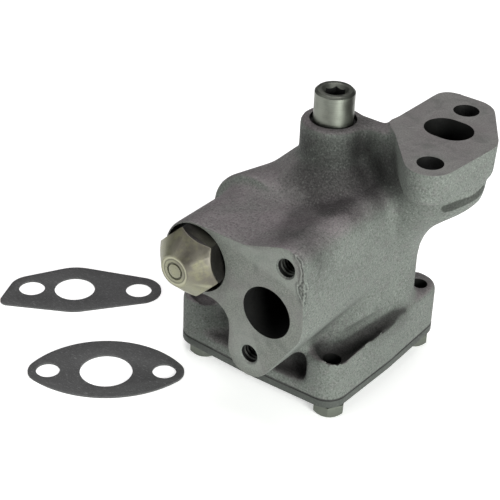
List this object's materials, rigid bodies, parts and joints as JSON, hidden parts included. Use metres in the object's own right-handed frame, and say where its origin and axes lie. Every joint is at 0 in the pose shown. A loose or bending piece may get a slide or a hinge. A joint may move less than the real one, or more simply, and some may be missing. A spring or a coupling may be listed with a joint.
{
  "type": "engine oil pump",
  "caption": "Gear-rotor engine oil pump in cast iron with a block flange, pickup flange, hex-socket drive shaft, relief valve, cover and loose gaskets.",
  "frame": {"origin": "where the drive shaft's axis meets the plane of the block-mounting face", "axes": "+Z along the drive shaft out of its socket, normal to the block-mounting face; -Y is the way the pickup flange faces; +X is the side of the block flange"},
  "size_m": [0.1642, 0.1202, 0.1028],
  "materials": {
    "cast_iron": "sand cast, machined faces",
    "ground_steel": "ground",
    "sintered_iron": "sintered",
    "plated_steel": "zinc plated",
    "bolt_steel": "satin",
    "gasket_fibre": "fibre sheet"
  },
  "bodies": {
    "housing": {"pump_body": "cast_iron", "cover_plate": "cast_iron", "cover_bolts": "bolt_steel", "relief_plug": "plated_steel", "relief_spring": "ground_steel"},
    "drive": {"drive_shaft": "ground_steel", "inner_rotor": "sintered_iron", "rotor_pin": "ground_steel"},
    "ring": {"outer_rotor": "sintered_iron"},
    "plunger": {"relief_plunger": "ground_steel"},
    "pickup_seal": {"inlet_gasket": "gasket_fibre"},
    "block_seal": {"block_gasket": "gasket_fibre"}
  },
  "joints": [
    {"name": "shaft_spin", "type": "hinge", "parent": "housing", "child": "drive", "pos_m": [0, 0, 0], "axis": [0, 0, 1], "continuous": true},
    {"name": "ring_spin", "type": "hinge", "parent": "housing", "child": "ring", "pos_m": [-0.0028, 0, -0.075], "axis": [0, 0, 1], "continuous": true},
    {"name": "relief_slide", "type": "slide", "parent": "housing", "child": "plunger", "axis": [0, -1, 0], "range_m": [0, 0.008], "stiffness_N_per_m": 2500, "springref_m": -0.02, "deforming": ["relief_spring"]},
    {"name": "inlet_gasket_lift", "type": "slide", "parent": "housing", "child": "pickup_seal", "axis": [0, 0, 1], "range_m": [0, 0.035]},
    {"name": "block_gasket_lift", "type": "slide", "parent": "housing", "child": "block_seal", "axis": [0, 0, 1], "range_m": [0, 0.035]}
  ],
  "couplings": [
    {"joint": "ring_spin", "follows": "shaft_spin", "ratio": 0.8}
  ]
}
